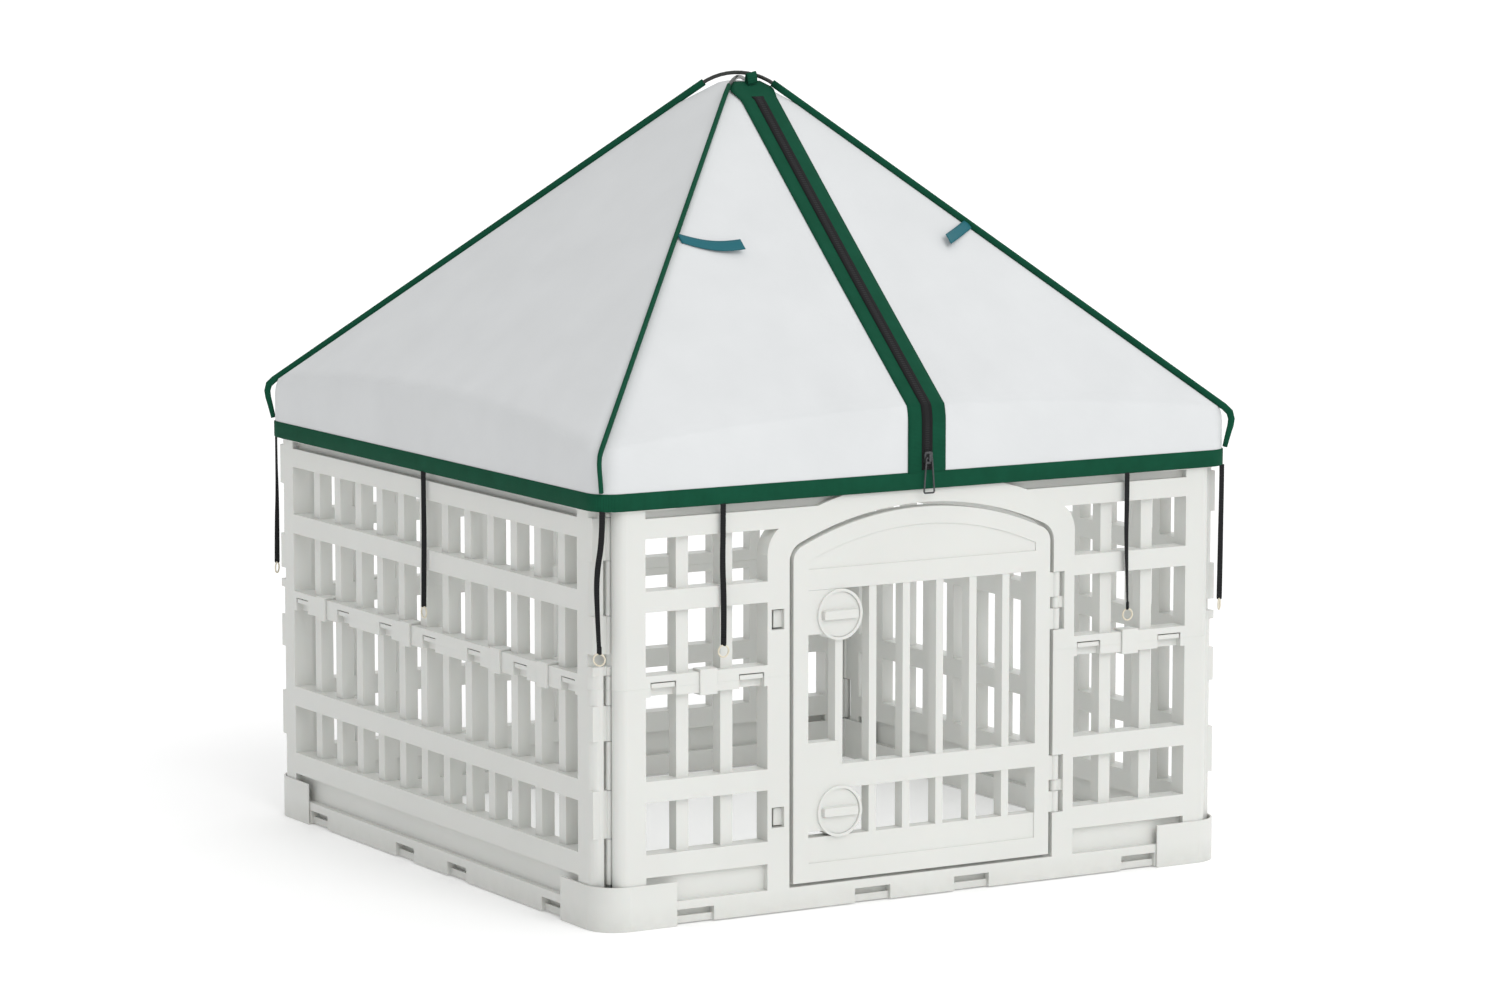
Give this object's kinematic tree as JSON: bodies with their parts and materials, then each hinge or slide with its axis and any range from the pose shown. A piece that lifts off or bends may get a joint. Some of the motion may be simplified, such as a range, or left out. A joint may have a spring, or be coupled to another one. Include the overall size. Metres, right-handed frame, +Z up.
{
  "type": "small-animal playpen with pitched canopy",
  "caption": "Square panel playpen with a latched door and a removable pyramid canopy with zip, poles and hanging straps.",
  "frame": {"origin": "centre of the pen's footprint, on the ground under its corner feet", "axes": "+Z up, the door and the canopy's zip face -Y, +X to the right of someone who faces the door from outside"},
  "size_m": [0.9172, 0.9229, 0.9965],
  "materials": {
    "white_plastic": "satin",
    "steel_pin": "satin",
    "canopy_cloth": "matt woven",
    "green_binding": "matt woven",
    "teal_ribbon": "satin woven",
    "black_nylon": "matt",
    "black_webbing": "matt woven",
    "strap_ring": "gloss",
    "dark_metal": "gloss",
    "pole_fibreglass": "gloss"
  },
  "bodies": {
    "pen": {"front_panel_lower": "white_plastic", "front_panel_upper": "white_plastic", "left_panel_lower": "white_plastic", "left_panel_upper": "white_plastic", "right_panel_lower": "white_plastic", "right_panel_upper": "white_plastic", "back_panel_lower": "white_plastic", "back_panel_upper": "white_plastic", "foot_front_right": "white_plastic", "foot_back_right": "white_plastic", "foot_back_left": "white_plastic", "foot_front_left": "white_plastic", "cap_front_right": "white_plastic", "cap_back_right": "white_plastic", "cap_back_left": "white_plastic", "cap_front_left": "white_plastic", "joint_clips": "white_plastic", "corner_pins": "steel_pin", "door_pins": "steel_pin"},
    "door": {"door_leaf": "white_plastic"},
    "knob_lower": {"latch_knob_lower": "white_plastic"},
    "knob_upper": {"latch_knob_upper": "white_plastic"},
    "bolt_lower": {"latch_bolt_lower": "white_plastic"},
    "bolt_upper": {"latch_bolt_upper": "white_plastic"},
    "canopy": {"roof_front": "canopy_cloth", "roof_left": "canopy_cloth", "roof_right": "canopy_cloth", "roof_back": "canopy_cloth", "skirt_front": "canopy_cloth", "skirt_left": "canopy_cloth", "skirt_right": "canopy_cloth", "skirt_back": "canopy_cloth", "hem_band": "green_binding", "hip_sleeves": "green_binding", "zip_tape": "green_binding", "zip_coil": "black_nylon", "ribbons": "teal_ribbon", "pole_left_front": "pole_fibreglass", "pole_right_front": "pole_fibreglass", "strap_front_left": "black_webbing", "strap_front_right": "black_webbing", "strap_left_middle": "black_webbing", "strap_right_middle": "black_webbing", "strap_back_middle": "black_webbing", "strap_near_corner": "black_webbing", "strap_right_corner": "black_webbing", "strap_far_corner": "black_webbing", "strap_back_corner": "black_webbing", "ring_front_left": "strap_ring", "ring_front_right": "strap_ring", "ring_left_middle": "strap_ring", "ring_right_middle": "strap_ring", "ring_back_middle": "strap_ring", "ring_near_corner": "strap_ring", "ring_right_corner": "strap_ring", "ring_far_corner": "strap_ring", "ring_back_corner": "strap_ring"},
    "slider": {"zip_slider": "dark_metal"},
    "puller": {"zip_puller": "dark_metal"}
  },
  "joints": [
    {"name": "door_swing", "type": "hinge", "parent": "pen", "child": "door", "pos_m": [0.197, -0.443, 0.2], "axis": [0, 0, 1], "range_deg": [0, 105]},
    {"name": "knob_lower_turn", "type": "hinge", "parent": "door", "child": "knob_lower", "pos_m": [-0.12075, -0.445, 0.1186], "axis": [0, -1, 0], "range_deg": [0, 90]},
    {"name": "knob_upper_turn", "type": "hinge", "parent": "door", "child": "knob_upper", "pos_m": [-0.12075, -0.445, 0.361], "axis": [0, -1, 0], "range_deg": [0, 90]},
    {"name": "bolt_lower_slide", "type": "slide", "parent": "door", "child": "bolt_lower", "axis": [-1, 0, 0], "range_m": [0, 0.018]},
    {"name": "bolt_upper_slide", "type": "slide", "parent": "door", "child": "bolt_upper", "axis": [-1, 0, 0], "range_m": [0, 0.018]},
    {"name": "canopy_lift", "type": "slide", "parent": "pen", "child": "canopy", "axis": [0, 0, 1], "range_m": [0, 0.15]},
    {"name": "slider_run", "type": "slide", "parent": "canopy", "child": "slider", "axis": [0, 0, 1], "range_m": [0, 0.035]},
    {"name": "puller_swing", "type": "hinge", "parent": "slider", "child": "puller", "pos_m": [0, -0.4616, 0.5455], "axis": [-1, 0, 0], "range_deg": [0, 160]}
  ],
  "couplings": [
    {"joint": "bolt_lower_slide", "follows": "knob_lower_turn", "m_per_rad": 0.011459},
    {"joint": "bolt_upper_slide", "follows": "knob_upper_turn", "m_per_rad": 0.011459}
  ]
}
